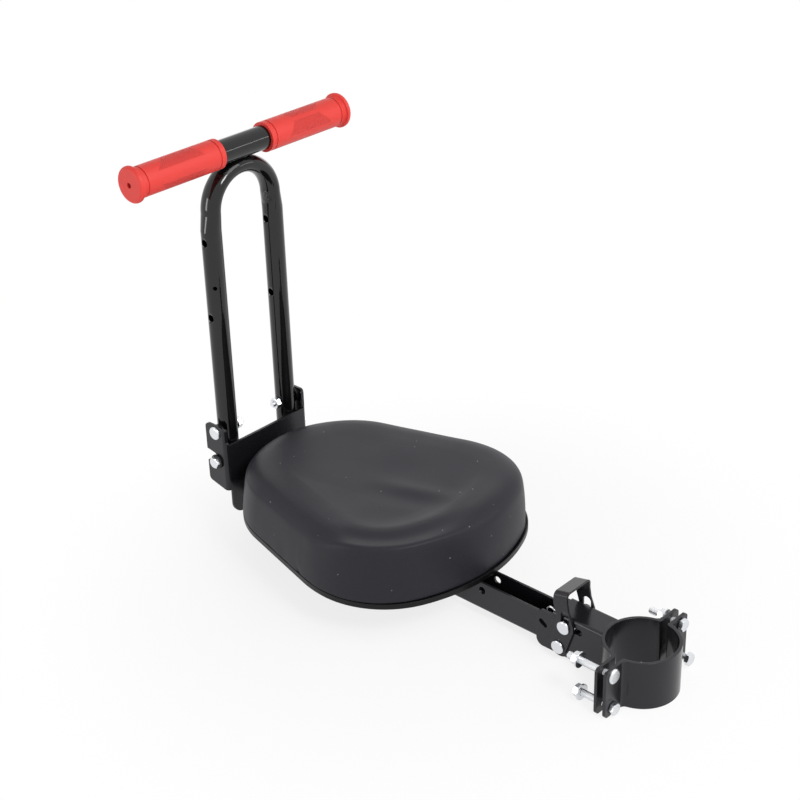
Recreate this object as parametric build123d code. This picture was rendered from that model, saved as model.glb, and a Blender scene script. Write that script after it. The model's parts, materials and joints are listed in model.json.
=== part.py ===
from build123d import *
import math
import os

# A child's bicycle seat that clamps on the bicycle's post, with a folding handlebar.
# Frame: origin on the axis of the clamp bore at mid height, +X forward, +Y left, +Z up, in mm.

# Post clamp
POST_D = 60.0
CLAMP_T = 2.7
CLAMP_H = 44.6
SPLIT_GAP = 6.0
FLANGE_EDGE = 9.5
FLANGE_ROOT_R = 5.0
FLANGE_CORNER_R = 4.0
CLAMP_BOLT_OUT = 13.8
CLAMP_BOLT_Z = 15.5

# Hardware
BOLT_D = 6.0
HOLE_CLEAR = 0.3
HEX_AF = 10.0
HEX_H = 4.0
NUT_H = 5.0
WASHER_D = 14.0
WASHER_T = 1.5
ROUND_HEAD_D = 13.0
ROUND_HEAD_H = 2.6
FIT = 0.1
THREAD_FIT = 0.05
SIDE_GAP = 0.3

# Seat arm, a channel open upward
ARM_W = 22.8
ARM_H = 28.25
ARM_T = 2.0
ARM_BOTTOM = -15.5
ARM_BEND_R = 3.0
ARM_HOLE_FROM_REAR = 1.0
ARM_HOLE_UP = 20.5
ARM_HOLE_D = 7.0

# Latch housing and release bail
HOUSING_T = 2.0
HOUSING_TOP = 20.7
HOUSING_BEND_R = 3.0
HOUSING_WEB_LEN = 47.3
HOUSING_LEN = 65.3
EAR_STEP = 3.7
EAR_BOTTOM = -19.5
EAR_CORNER_R = 7.0
PIVOT_PIN_OUT = 40.3
PIVOT_PIN_Z = -10.5
PIVOT_BOSS_R = 10.5
LATCH_PIN_BACK = 5.5
LATCH_PIN_UP = 22.0
LATCH_TRAVEL = 14.0
RIVET_D = 6.0
RIVET_HEAD_D = 12.4
RIVET_HEAD_H = 1.8
BAIL_T = 2.0
BAIL_RISE = 23.3
BAIL_TOP_W = 14.0
BAIL_TILT = 13.5
BAIL_BEND_R = 4.5
BAIL_EYE_R = 8.0
BAIL_SLOT_W = 8.4
BAIL_SLOT_LEN = 16.0
BAIL_SLOT_SHIFT = 0.9
SPRING_WIRE_D = 1.4
SPRING_TURNS = 3
SPRING_PITCH = 1.7
SPRING_HOOK_OUT = 8.2

# Seat pan and pad
PAN_REAR_X = 161.0
PAN_HALF_W = 115.0
PAN_WIDE_BACK = 89.0
PAN_REAR_R = 160.0
PAN_FRONT_R = 93.0
PAN_FRONT_GAP = 6.0
PAN_T = 1.5
PAN_RIM_H = 5.0
PAD_H = 55.25
PAD_LEAN = 6.0
PAD_FALL_DEG = 2.2
PAD_SHOULDER_R = 18.0
PAD_DISH_R = 420.0
PAD_DISH_DEPTH = 7.0
PAD_DISH_BACK = 14.0
SEAT_BOLT_SPACING = 120.0

# Handle bracket, one folded sheet
WEB_X = 438.0
SHEET_T = 2.5
BRACKET_BEND_R = 4.5
WEB_BELOW_TUBE = 1.6
TAB_BOTTOM = -12.0
TAB_CORNER_R = 12.0
EAR_DEPTH = 26.5
EAR_ABOVE_PIVOT = 7.6
EAR_BELOW_LOCK = 28.7
EAR_CHAMFER = 5.0

# Handle
LEG_CLEAR = 0.7
SPACER_D = 14.0
SPACER_T = 3.4
LEG_SPACING = 74.6
TUBE_D = 19.0
TUBE_T = 1.5
LEG_BELOW_LOCK = 13.2
PIVOT_Z = 74.4
LOCK_DROP = 30.2
SPARE_HOLE_ZS = (190.3, 263.5)
SPARE_HOLE_D = 7.0
SPARE_DIMPLE_D = 11.0
SPARE_DIMPLE_DEPTH = 0.7
DRAIN_HOLE_Z = 221.0
DRAIN_HOLE_D = 4.0
LOOP_TOP = 332.8
BEND_FLAT = 16.2
BEND_WIDE = 20.5
BEND_BLEND = 15.0
BAR_BACK = 4.2
BAR_SINK = 1.0
BAR_D = 22.0
BAR_T = 1.5
GRIP_FACE_Y = 125.0
GRIP_INNER_Y = 27.6
GRIP_WALL = 2.75
GRIP_FLANGE_OUT = 2.5
GRIP_FLANGE_T = 5.0
GRIP_COLLAR_T = 5.0
GRIP_GROOVE = 0.8
GRIP_GROOVE_W = 1.2
GRIP_END_T = 4.0
GRIP_END_HOLE_D = 5.0

POST_R = POST_D / 2
RING_R = POST_R + CLAMP_T
CLAMP_BOLT_Y = RING_R + CLAMP_BOLT_OUT
FLANGE_REACH = CLAMP_BOLT_Y + FLANGE_EDGE
BOLT_HOLE_R = BOLT_D / 2 + HOLE_CLEAR
SHANK_R = BOLT_D / 2
ARM_TOP = ARM_BOTTOM + ARM_H
HOUSING_WEB_X = RING_R + HOUSING_WEB_LEN
EAR_X = RING_R + HOUSING_LEN
EAR_TOP = HOUSING_TOP - EAR_STEP
PIVOT_PIN_X = RING_R + PIVOT_PIN_OUT
LATCH_PIN_X = PIVOT_PIN_X - LATCH_PIN_BACK
LATCH_PIN_Z = PIVOT_PIN_Z + LATCH_PIN_UP
ARM_END_X = LATCH_PIN_X - RIVET_D - 4.5
ARM_FORK_X = PIVOT_PIN_X + RIVET_HEAD_D
BAIL_TOP = HOUSING_TOP + BAIL_RISE
HOUSING_IN = ARM_W / 2 + SIDE_GAP
HOUSING_OUT = HOUSING_IN + HOUSING_T
BAIL_IN = HOUSING_OUT + SIDE_GAP
BAIL_OUT = BAIL_IN + BAIL_T
RIVET_GRIP = BAIL_OUT + SIDE_GAP
RIVET_R = RIVET_D / 2
PAN_WIDE_X = PAN_REAR_X + PAN_WIDE_BACK
PAN_FRONT_X = WEB_X - PAN_FRONT_GAP
PAN_Z = ARM_TOP
PAN_FLOOR = PAN_Z + PAN_T
PAD_TOP = PAN_FLOOR + PAD_H
PAD_DISH_X = PAN_WIDE_X - PAD_DISH_BACK
SEAT_BOLT_XS = (PAN_WIDE_X - SEAT_BOLT_SPACING / 2, PAN_WIDE_X + SEAT_BOLT_SPACING / 2)
ARM_HOLE_X = PAN_REAR_X - ARM_HOLE_FROM_REAR
ARM_HOLE_Z = ARM_BOTTOM + ARM_HOLE_UP
PAD_INSET = PAN_T + SIDE_GAP
LEG_Y = LEG_SPACING / 2
TUBE_R = TUBE_D / 2
EAR_IN = LEG_Y + TUBE_R + SPACER_T + FIT
EAR_OUT = EAR_IN + SHEET_T
BRACKET_W = 2 * EAR_OUT
WEB_FRONT = WEB_X + SHEET_T
EAR_FRONT = WEB_X + EAR_DEPTH
LEG_X = WEB_FRONT + LEG_CLEAR + TUBE_R
LOCK_Z = PIVOT_Z - LOCK_DROP
LEG_BOTTOM = LOCK_Z - LEG_BELOW_LOCK
WEB_TOP = PIVOT_Z - TUBE_R - WEB_BELOW_TUBE
EAR_HIGH = PIVOT_Z + EAR_ABOVE_PIVOT
EAR_LOW = LOCK_Z - EAR_BELOW_LOCK
EAR_CHAMFER_Z = EAR_LOW + EAR_CHAMFER
BEND_IN_R = LEG_Y - TUBE_R
BEND_Z = LOOP_TOP - BEND_FLAT - BEND_IN_R
BEND_MID_R = BEND_IN_R + BEND_FLAT / 2
BAR_R = BAR_D / 2
BAR_X = LEG_X - BAR_BACK
BAR_Z = LOOP_TOP + BAR_R - BAR_SINK
GRIP_D = BAR_D + 2 * GRIP_WALL
GRIP_FLANGE_D = GRIP_D + 2 * GRIP_FLANGE_OUT
GRIP_R = GRIP_D / 2
GRIP_FLANGE_R = GRIP_FLANGE_D / 2
SPRING_WIRE_R = SPRING_WIRE_D / 2
SPRING_COIL_R = RIVET_R + 2 * SIDE_GAP + SPRING_WIRE_R
SPRING_HOOK_Y = ARM_W / 2 - ARM_T - SIDE_GAP - SPRING_WIRE_R

os.makedirs("parts", exist_ok=True)


def save(name, shape):
    export_step(shape, "parts/" + name + ".step")


def rod_x(radius, x0, x1, y, z):
    """A round bar along X from x0 to x1."""
    bar = Cylinder(radius, x1 - x0, rotation=(0, 90, 0))
    return Pos((x0 + x1) / 2, y, z) * bar


def rod_y(radius, y0, y1, x, z):
    """A round bar along Y from y0 to y1."""
    bar = Cylinder(radius, y1 - y0, rotation=(90, 0, 0))
    return Pos(x, (y0 + y1) / 2, z) * bar


def rod_z(radius, z0, z1, x, y):
    """A round bar along Z from z0 to z1."""
    return Pos(x, y, (z0 + z1) / 2) * Cylinder(radius, z1 - z0)


def block(x0, x1, y0, y1, z0, z1):
    """A box given by its limits."""
    return Pos((x0 + x1) / 2, (y0 + y1) / 2, (z0 + z1) / 2) * Box(x1 - x0, y1 - y0, z1 - z0)


def hexagon_prism(across, height):
    """A hexagon along Z from 0 to height, its far corners turned off at 30 degrees."""
    prism = extrude(RegularPolygon(across / 2, 6, major_radius=False), amount=height)
    corner_r = across / math.sqrt(3)
    drop = (corner_r - across * 0.47) * math.tan(math.radians(30))
    profile = Polyline(
        (0, 0, 0), (corner_r, 0, 0), (corner_r, 0, height - drop),
        (across * 0.47, 0, height), (0, 0, height), close=True,
    )
    return prism & revolve(make_face(profile), Axis.Z, 360)


def dome(diameter, height):
    """A low round head along Z from 0 to height with a softened edge."""
    disc = Pos(0, 0, height / 2) * Cylinder(diameter / 2, height)
    return fillet(disc.edges().group_by(Axis.Z)[-1], height * 0.6)


def hex_bolt(length):
    """A hexagon bolt along Z, head from 0 to HEX_H, shank down to -length."""
    shank = Pos(0, 0, -length / 2) * Cylinder(SHANK_R, length)
    shank = chamfer(shank.edges().group_by(Axis.Z)[0], 0.6)
    return hexagon_prism(HEX_AF, HEX_H) + shank


def round_bolt(length):
    """A round-headed bolt along Z, head from 0 up, shank down to -length."""
    shank = Pos(0, 0, -length / 2) * Cylinder(SHANK_R, length)
    shank = chamfer(shank.edges().group_by(Axis.Z)[0], 0.6)
    return dome(ROUND_HEAD_D, ROUND_HEAD_H) + shank


def hex_nut():
    """A nut along Z from 0 to NUT_H, bored to the bolt's size."""
    bore = Pos(0, 0, NUT_H / 2) * Cylinder(SHANK_R + THREAD_FIT, NUT_H + 2)
    return hexagon_prism(HEX_AF, NUT_H) - bore


def washer():
    """A plain washer along Z from 0 to WASHER_T."""
    ring = Pos(0, 0, WASHER_T / 2) * Cylinder(WASHER_D / 2, WASHER_T)
    return ring - Pos(0, 0, WASHER_T / 2) * Cylinder(SHANK_R + FIT, WASHER_T + 2)


def facing_y(x, y, z, sign):
    """A place whose Z axis points along +Y or -Y."""
    return Plane(origin=(x, y, z), x_dir=(1, 0, 0), z_dir=(0, sign, 0)).location


def facing_x(x, y, z, sign):
    """A place whose Z axis points along +X or -X."""
    return Plane(origin=(x, y, z), x_dir=(0, 1, 0), z_dir=(sign, 0, 0)).location


def group(name, solids):
    save(name, Compound(children=list(solids)))


# Post clamp halves: half a ring running out into two bolted flanges
def clamp_half(sign):
    ring = Circle(RING_R) - Circle(POST_R)
    wings = Rectangle(CLAMP_T, 2 * FLANGE_REACH)
    wings = Pos(SPLIT_GAP / 2 + CLAMP_T / 2, 0) * wings - Circle(POST_R)
    side = Pos(SPLIT_GAP / 2 + RING_R, 0) * Rectangle(2 * RING_R, 4 * FLANGE_REACH)
    plan = (ring & side) + wings
    outer_root = [
        v for v in plan.vertices()
        if abs(v.X - SPLIT_GAP / 2 - CLAMP_T) < 0.01 and abs(abs(v.Y) - RING_R) < 1.5
    ]
    plan = fillet(outer_root, FLANGE_ROOT_R)
    inner_root = [v for v in plan.vertices() if abs(v.X - SPLIT_GAP / 2) < 0.01 and abs(v.Y) < POST_R + 0.5]
    plan = fillet(inner_root, 3.0)
    half = Pos(0, 0, -CLAMP_H / 2) * extrude(plan, amount=CLAMP_H)
    ends = half.edges().filter_by(Axis.X).filter_by(lambda e: abs(e.center().Y) > FLANGE_REACH - 0.1)
    half = fillet(ends, FLANGE_CORNER_R)
    for y in (-CLAMP_BOLT_Y, CLAMP_BOLT_Y):
        for z in (-CLAMP_BOLT_Z, CLAMP_BOLT_Z):
            half -= rod_x(BOLT_HOLE_R, 0, SPLIT_GAP + 2 * CLAMP_T, y, z)
    return half if sign > 0 else half.rotate(Axis.Z, 180)


save("clamp_front_half", clamp_half(1))
save("clamp_rear_half", clamp_half(-1))

# Clamp bolts: each has its own slack, as the clamp is drawn up only on a post.
# y side, z side, head standing off the flange, place of the nut, shank past the nut, round head
CLAMP_BOLTS = (
    (1, 1, 0.0, 28.0, 6.0, True),
    (1, -1, 0.5, 25.5, 1.0, False),
    (-1, 1, 1.0, 10.0, 10.0, False),
    (-1, -1, 8.5, 12.0, 6.0, False),
)
flange_face = SPLIT_GAP / 2 + CLAMP_T
hex_bolts = []
clamp_nuts = []
clamp_washers = []
for y_side, z_side, stand_off, nut_x, past, is_round in CLAMP_BOLTS:
    y = y_side * CLAMP_BOLT_Y
    z = z_side * CLAMP_BOLT_Z
    head_x = -flange_face - stand_off
    length = nut_x + NUT_H + past - head_x
    if is_round:
        save("clamp_round_bolt", facing_x(head_x, y, z, -1) * round_bolt(length))
    else:
        hex_bolts.append(facing_x(head_x, y, z, -1) * hex_bolt(length))
    clamp_nuts.append(facing_x(nut_x, y, z, 1) * hex_nut())
    clamp_washers.append(facing_x(nut_x, y, z, -1) * washer())
group("clamp_hex_bolts", hex_bolts)
group("clamp_nuts", clamp_nuts)
group("clamp_washers", clamp_washers)


# Latch housing: a channel open downward, coped and welded to the clamp's front half
def latch_housing():
    tall = HOUSING_TOP - EAR_BOTTOM + 20
    outer = Pos(0, HOUSING_TOP - tall / 2) * Rectangle(2 * HOUSING_OUT, tall)
    outer = fillet(outer.vertices().group_by(Axis.Y)[-1], HOUSING_BEND_R)
    low_top = HOUSING_TOP - HOUSING_T
    inner = Pos(0, low_top - tall / 2) * Rectangle(2 * HOUSING_IN, tall)
    inner = fillet(inner.vertices().group_by(Axis.Y)[-1], HOUSING_BEND_R - HOUSING_T)
    channel = extrude(Plane.YZ * (outer - inner), amount=EAR_X)
    side = Polyline(
        (0, HOUSING_TOP), (HOUSING_WEB_X, HOUSING_TOP), (HOUSING_WEB_X + 3, EAR_TOP), (EAR_X, EAR_TOP),
        (EAR_X, EAR_BOTTOM), (0, EAR_BOTTOM), close=True,
    )
    face = make_face(side)
    face = fillet([v for v in face.vertices() if v.X > EAR_X - 0.01], EAR_CORNER_R)
    face += Pos(PIVOT_PIN_X, PIVOT_PIN_Z) * Circle(PIVOT_BOSS_R)
    channel &= extrude(Plane.XZ * face, amount=2 * HOUSING_OUT, both=True)
    channel -= Cylinder(RING_R, 4 * CLAMP_H)
    slot_end = LATCH_PIN_X - LATCH_TRAVEL
    slot = SlotCenterToCenter(LATCH_TRAVEL + 2 * FIT, RIVET_D + 2 * FIT)
    slot = Pos((LATCH_PIN_X + slot_end) / 2, LATCH_PIN_Z) * slot
    channel -= extrude(Plane.XZ * slot, amount=2 * HOUSING_OUT, both=True)
    channel -= rod_y(RIVET_R + FIT / 2, -30, 30, PIVOT_PIN_X, PIVOT_PIN_Z)
    bean = Pos(EAR_X - 7.0, LATCH_PIN_Z - 7.5) * Rot(0, 0, 35) * SlotCenterToCenter(4.5, 5.0)
    channel -= extrude(Plane.XZ * bean, amount=2 * HOUSING_OUT, both=True)
    return channel


save("latch_housing", latch_housing())


# Rivets: plain pins with a low dome at each end
def double_headed(x, z):
    pin = rod_y(RIVET_R, -RIVET_GRIP - 0.5, RIVET_GRIP + 0.5, x, z)
    for sign in (-1, 1):
        pin += facing_y(x, sign * RIVET_GRIP, z, sign) * dome(RIVET_HEAD_D, RIVET_HEAD_H)
    return pin


save("latch_pivot_rivet", double_headed(PIVOT_PIN_X, PIVOT_PIN_Z))
save("latch_pin", double_headed(LATCH_PIN_X, LATCH_PIN_Z))


# Release bail: a strap bent over the housing, turning on the lower rivet, its slots drawing the latch pin
def latch_bail():
    low = PIVOT_PIN_Z - 2 * BAIL_EYE_R
    outer = Pos(0, (BAIL_TOP + low) / 2) * Rectangle(2 * BAIL_OUT, BAIL_TOP - low)
    outer = fillet(outer.vertices().group_by(Axis.Y)[-1], BAIL_BEND_R)
    inner = Pos(0, (BAIL_TOP + low) / 2 - BAIL_T) * Rectangle(2 * BAIL_IN, BAIL_TOP - low)
    inner = fillet(inner.vertices().group_by(Axis.Y)[-1], BAIL_BEND_R - BAIL_T)
    strap = extrude(Plane.YZ * (outer - inner), amount=2 * PIVOT_PIN_X)
    top_x = PIVOT_PIN_X - 0.15 * BAIL_EYE_R
    strap = strap.rotate(Axis((top_x, 0, BAIL_TOP), (0, 1, 0)), BAIL_TILT)
    leg = Polyline(
        (top_x - BAIL_TOP_W / 2, BAIL_TOP + BAIL_TOP_W), (top_x + BAIL_TOP_W / 2, BAIL_TOP + BAIL_TOP_W),
        (top_x + BAIL_TOP_W / 2, BAIL_TOP - 0.54 * BAIL_RISE),
        (PIVOT_PIN_X + 0.22 * BAIL_EYE_R, LATCH_PIN_Z + 0.94 * BAIL_EYE_R),
        (PIVOT_PIN_X + 0.94 * BAIL_EYE_R, PIVOT_PIN_Z + 0.5 * BAIL_EYE_R), (PIVOT_PIN_X, PIVOT_PIN_Z),
        (PIVOT_PIN_X - 0.92 * BAIL_EYE_R, PIVOT_PIN_Z - 0.39 * BAIL_EYE_R),
        (LATCH_PIN_X - 1.22 * BAIL_EYE_R, LATCH_PIN_Z - 0.12 * BAIL_EYE_R),
        (LATCH_PIN_X - 1.2 * BAIL_EYE_R, LATCH_PIN_Z + 0.38 * BAIL_EYE_R),
        (LATCH_PIN_X - 0.52 * BAIL_EYE_R, LATCH_PIN_Z + 2.12 * BAIL_EYE_R),
        (top_x - BAIL_TOP_W / 2, BAIL_TOP - 0.3 * BAIL_RISE), close=True,
    )
    face = make_face(leg) + Pos(PIVOT_PIN_X, PIVOT_PIN_Z) * Circle(BAIL_EYE_R)
    strap &= extrude(Plane.XZ * face, amount=2 * BAIL_OUT, both=True)
    strap -= rod_y(RIVET_R + FIT, -30, 30, PIVOT_PIN_X, PIVOT_PIN_Z)
    slot_run = BAIL_SLOT_LEN - BAIL_SLOT_W / 2
    slot = Rot(0, 0, 90) * SlotCenterToCenter(slot_run, BAIL_SLOT_W)
    slot = Pos(LATCH_PIN_X - BAIL_SLOT_SHIFT, LATCH_PIN_Z - 0.4 + slot_run / 2) * slot
    strap -= extrude(Plane.XZ * slot, amount=2 * BAIL_OUT, both=True)
    return strap


save("latch_bail", latch_bail())


# Latch spring: a wire wound on the lower rivet, one leg behind the latch pin, the other hooked over the arm
def latch_spring():
    behind = LATCH_PIN_X - RIVET_R - FIT - SPRING_WIRE_R
    coil_y = SPRING_HOOK_Y - SPRING_PITCH * (SPRING_TURNS - 0.5)
    points = [(behind - 1, coil_y, LATCH_PIN_Z + 4), (behind, coil_y, LATCH_PIN_Z - 1)]
    points.append((PIVOT_PIN_X - SPRING_COIL_R - 1.2, coil_y, PIVOT_PIN_Z + 7))
    steps = 8 * SPRING_TURNS - 4
    for k in range(steps + 1):
        turn = math.pi + math.pi * k / 4
        x = PIVOT_PIN_X + SPRING_COIL_R * math.cos(turn)
        z = PIVOT_PIN_Z + SPRING_COIL_R * math.sin(turn)
        points.append((x, coil_y + SPRING_PITCH * k / 8, z))
    hook_x = HOUSING_WEB_X + SPRING_HOOK_OUT
    hook_z = HOUSING_TOP - SPRING_WIRE_R
    bends = ((9.3, 20), (8.5, 10), (6, 4.2), (2.7, 1.1), (0, 0), (-2, 1.4), (-3, 4.5), (-3.2, 6.5))
    for back, down in bends:
        points.append((hook_x - back, SPRING_HOOK_Y, hook_z - down))
    path = Edge.make_spline([Vector(*p) for p in points])
    start = Plane(origin=points[0], z_dir=path.tangent_at(0))
    return sweep(start * Circle(SPRING_WIRE_R), path=path)


save("latch_spring", latch_spring())


# Seat arm: a channel open upward, its rear end a fork hooked over the lower rivet and held by the latch pin
def seat_arm():
    outer = Pos(0, (ARM_TOP + ARM_BOTTOM) / 2 + 20) * Rectangle(ARM_W, ARM_H + 40)
    outer = fillet(outer.vertices().group_by(Axis.Y)[0], ARM_BEND_R)
    inner = Pos(0, (ARM_TOP + ARM_BOTTOM) / 2 + 30 + ARM_T) * Rectangle(ARM_W - 2 * ARM_T, ARM_H + 60)
    inner = fillet(inner.vertices().group_by(Axis.Y)[0], ARM_BEND_R - ARM_T)
    channel = extrude(Plane.YZ * (outer - inner), amount=WEB_X)
    finger_top = HOUSING_TOP - HOUSING_T - SIDE_GAP
    side = Polyline(
        (ARM_END_X, ARM_BOTTOM), (WEB_X, ARM_BOTTOM), (WEB_X, ARM_TOP), (HOUSING_WEB_X + 1, ARM_TOP),
        (HOUSING_WEB_X - 5, finger_top), (ARM_END_X, finger_top), close=True,
    )
    face = make_face(side)
    face = fillet([v for v in face.vertices() if v.X < ARM_END_X + 0.01], 2.0)
    channel &= extrude(Plane.XZ * face, amount=ARM_W, both=True)
    notch_r = RIVET_R + FIT
    channel -= rod_y(notch_r, -ARM_W, ARM_W, PIVOT_PIN_X, PIVOT_PIN_Z)
    hook = Pos(PIVOT_PIN_X, 0, PIVOT_PIN_Z - 10) * Box(2 * notch_r, 2 * ARM_W, 20)
    channel -= hook
    channel -= rod_y(notch_r, -ARM_W, ARM_W, LATCH_PIN_X, LATCH_PIN_Z)
    channel -= block(
        ARM_END_X - 9, LATCH_PIN_X, -ARM_W, ARM_W, LATCH_PIN_Z - notch_r, LATCH_PIN_Z + notch_r
    )
    clear_w = ARM_W / 2 - ARM_T
    channel -= block(ARM_END_X - 9, ARM_FORK_X, -clear_w, clear_w, ARM_BOTTOM - 9, ARM_TOP)
    channel -= rod_y(ARM_HOLE_D / 2, -ARM_W, ARM_W, ARM_HOLE_X, ARM_HOLE_Z)
    for x in SEAT_BOLT_XS:
        channel -= rod_z(BOLT_HOLE_R, ARM_BOTTOM - 9, ARM_BOTTOM + ARM_T + 1, x, 0)
    return channel


save("seat_arm", seat_arm())


# Seat pan and pad share one outline of tangent arcs, broad at the rear and narrow at the handle
def egg(inset, z):
    """The outline moved in by inset, drawn at height z."""
    rear_mid = PAN_REAR_X + PAN_REAR_R
    back = rear_mid - PAN_WIDE_X
    corner_r = (PAN_REAR_R ** 2 - back ** 2 - PAN_HALF_W ** 2) / (2 * (PAN_REAR_R - PAN_HALF_W))
    corner_y = PAN_HALF_W - corner_r
    corner_turn = math.atan2(corner_y, back)
    front_mid = PAN_FRONT_X - PAN_FRONT_R
    flank_turn = math.asin((PAN_HALF_W - PAN_FRONT_R) / (front_mid - PAN_WIDE_X))

    def at(mid_x, mid_y, radius, turn, sign):
        reach = radius - inset
        return (mid_x + reach * math.cos(turn), sign * (mid_y + reach * math.sin(turn)), z)

    rear_end = at(rear_mid, 0, PAN_REAR_R, math.pi, 1)
    front_end = at(front_mid, 0, PAN_FRONT_R, 0, 1)
    corner = []
    middle = []
    widest = []
    bow = []
    flank = []
    front = []
    for sign in (1, -1):
        corner.append(at(rear_mid, 0, PAN_REAR_R, math.pi - corner_turn, sign))
        middle.append(at(PAN_WIDE_X, corner_y, corner_r, (1.5 * math.pi - corner_turn) / 2, sign))
        widest.append(at(PAN_WIDE_X, 0, PAN_HALF_W, math.pi / 2, sign))
        bow.append(at(PAN_WIDE_X, 0, PAN_HALF_W, (math.pi - flank_turn) / 2, sign))
        flank.append(at(PAN_WIDE_X, 0, PAN_HALF_W, math.pi / 2 - flank_turn, sign))
        front.append(at(front_mid, 0, PAN_FRONT_R, math.pi / 2 - flank_turn, sign))
    edges = [
        ThreePointArc(corner[1], rear_end, corner[0]), ThreePointArc(corner[0], middle[0], widest[0]),
        ThreePointArc(widest[0], bow[0], flank[0]), Line(flank[0], front[0]),
        ThreePointArc(front[0], front_end, front[1]), Line(front[1], flank[1]),
        ThreePointArc(flank[1], bow[1], widest[1]), ThreePointArc(widest[1], middle[1], corner[1]),
    ]
    return Face(Wire(edges))


pan = extrude(egg(0, PAN_Z), amount=PAN_RIM_H, dir=(0, 0, 1))
pan -= extrude(egg(PAN_T, PAN_FLOOR), amount=PAN_RIM_H, dir=(0, 0, 1))
for x in SEAT_BOLT_XS:
    pan -= rod_z(SHANK_R + THREAD_FIT, PAN_Z - 5, PAN_FLOOR + 5, x, 0)
save("seat_pan", pan)


def seat_pad():
    over = 1.5 * PAD_H
    lean = PAD_LEAN * over / PAD_H
    pad = loft([egg(PAD_INSET, PAN_FLOOR), egg(PAD_INSET + lean, PAN_FLOOR + over)], ruled=True)
    fall = math.radians(PAD_FALL_DEG)
    upward = (math.sin(fall), 0, math.cos(fall))
    slope = Plane(origin=(PAN_WIDE_X, 0, PAD_TOP), x_dir=(0, 1, 0), z_dir=upward)
    pad = split(pad, bisect_by=slope, keep=Keep.BOTTOM)
    top = pad.faces().sort_by(Axis.Z)[-1]
    pad = fillet(top.edges(), PAD_SHOULDER_R)
    dish_z = PAD_TOP - PAD_DISH_DEPTH + PAD_DISH_R
    return pad - Pos(PAD_DISH_X, 0, dish_z) * Sphere(PAD_DISH_R)


save("seat_pad", seat_pad())

seat_bolt_len = PAN_FLOOR - ARM_BOTTOM
seat_bolts = []
for x in SEAT_BOLT_XS:
    place = Plane(origin=(x, 0, ARM_BOTTOM), x_dir=(1, 0, 0), z_dir=(0, 0, -1)).location
    seat_bolts.append(place * hex_bolt(seat_bolt_len))
group("seat_bolts", seat_bolts)


# Handle bracket: a web with a folded ear on each side, each ear with a notch open to the front
def handle_bracket():
    outer = Pos(WEB_X + EAR_DEPTH / 2, 0) * Rectangle(EAR_DEPTH, BRACKET_W)
    outer = fillet(outer.vertices().group_by(Axis.X)[0], BRACKET_BEND_R)
    inner = Pos(WEB_FRONT + EAR_DEPTH, 0) * Rectangle(2 * EAR_DEPTH, 2 * EAR_IN)
    inner = fillet(inner.vertices().group_by(Axis.X)[0], BRACKET_BEND_R - SHEET_T)
    fold = Pos(0, 0, TAB_BOTTOM) * extrude(outer - inner, amount=EAR_HIGH - TAB_BOTTOM)
    flat_half = EAR_OUT - BRACKET_BEND_R
    web = Pos(0, (WEB_TOP + TAB_BOTTOM) / 2) * Rectangle(2 * flat_half, WEB_TOP - TAB_BOTTOM)
    web = fillet(web.vertices().group_by(Axis.Y)[0], TAB_CORNER_R)
    web_body = Pos(WEB_X - 1, 0, 0) * extrude(Plane.YZ * web, amount=SHEET_T + 2)
    ear = Polyline(
        (WEB_X - 1, WEB_TOP), (WEB_X + 1.5, WEB_TOP + 3), (WEB_X + 1.5, EAR_HIGH), (EAR_FRONT, EAR_HIGH),
        (EAR_FRONT, EAR_CHAMFER_Z), (WEB_X + 5, EAR_LOW), (WEB_X - 1, EAR_LOW), close=True,
    )
    face = make_face(ear)
    face = fillet([v for v in face.vertices() if v.Y > EAR_HIGH - 0.01], 5.0)
    face = fillet([v for v in face.vertices() if abs(v.Y - EAR_CHAMFER_Z) < 0.01], 4.0)
    notch_r = SHANK_R + HOLE_CLEAR
    notch = Polyline(
        (LEG_X - 2, LOCK_Z), (LEG_X, LOCK_Z - notch_r), (EAR_FRONT + 3, LOCK_Z - notch_r),
        (EAR_FRONT + 3, LOCK_Z + 10), (LEG_X + 4, LOCK_Z + 8), (LEG_X - 2, LOCK_Z + 5), close=True,
    )
    cut = fillet([v for v in make_face(notch).vertices() if v.X < LEG_X + 5 and v.Y > LOCK_Z + 4], 2.5)
    cut += Pos(LEG_X, LOCK_Z) * Circle(notch_r)
    face -= cut
    face -= Pos(LEG_X, PIVOT_Z) * Circle(BOLT_HOLE_R - HOLE_CLEAR + FIT)
    ears = extrude(Plane.XZ * face, amount=BRACKET_W, both=True)
    ears -= block(WEB_X - 2, EAR_FRONT + 1, -flat_half, flat_half, TAB_BOTTOM - 1, EAR_HIGH + 1)
    return fold & (web_body + ears)


save("handle_bracket", handle_bracket())


# Handle loop: a tube bent to an inverted U, flattened in the bend and coped under the crossbar
def loop_form(shrink, low):
    """The loop as a solid bar, its surface moved in by shrink and its legs running down to low."""
    flat = BEND_FLAT / 2 - shrink
    wide = BEND_WIDE / 2 - shrink
    axis = Axis((LEG_X, 0, BEND_Z), (1, 0, 0))
    start_z = BEND_Z - BEND_BLEND
    form = revolve(Pos(LEG_X, BEND_MID_R, BEND_Z) * Ellipse(wide, flat), axis, 180)
    for sign in (-1, 1):
        leg_end = Pos(LEG_X, sign * LEG_Y, start_z) * Circle(TUBE_R - shrink)
        bend_end = Pos(LEG_X, sign * BEND_MID_R, BEND_Z) * Ellipse(wide, flat)
        form += loft([leg_end, bend_end])
        form += rod_z(TUBE_R - shrink, low, start_z, LEG_X, sign * LEG_Y)
    return form


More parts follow.
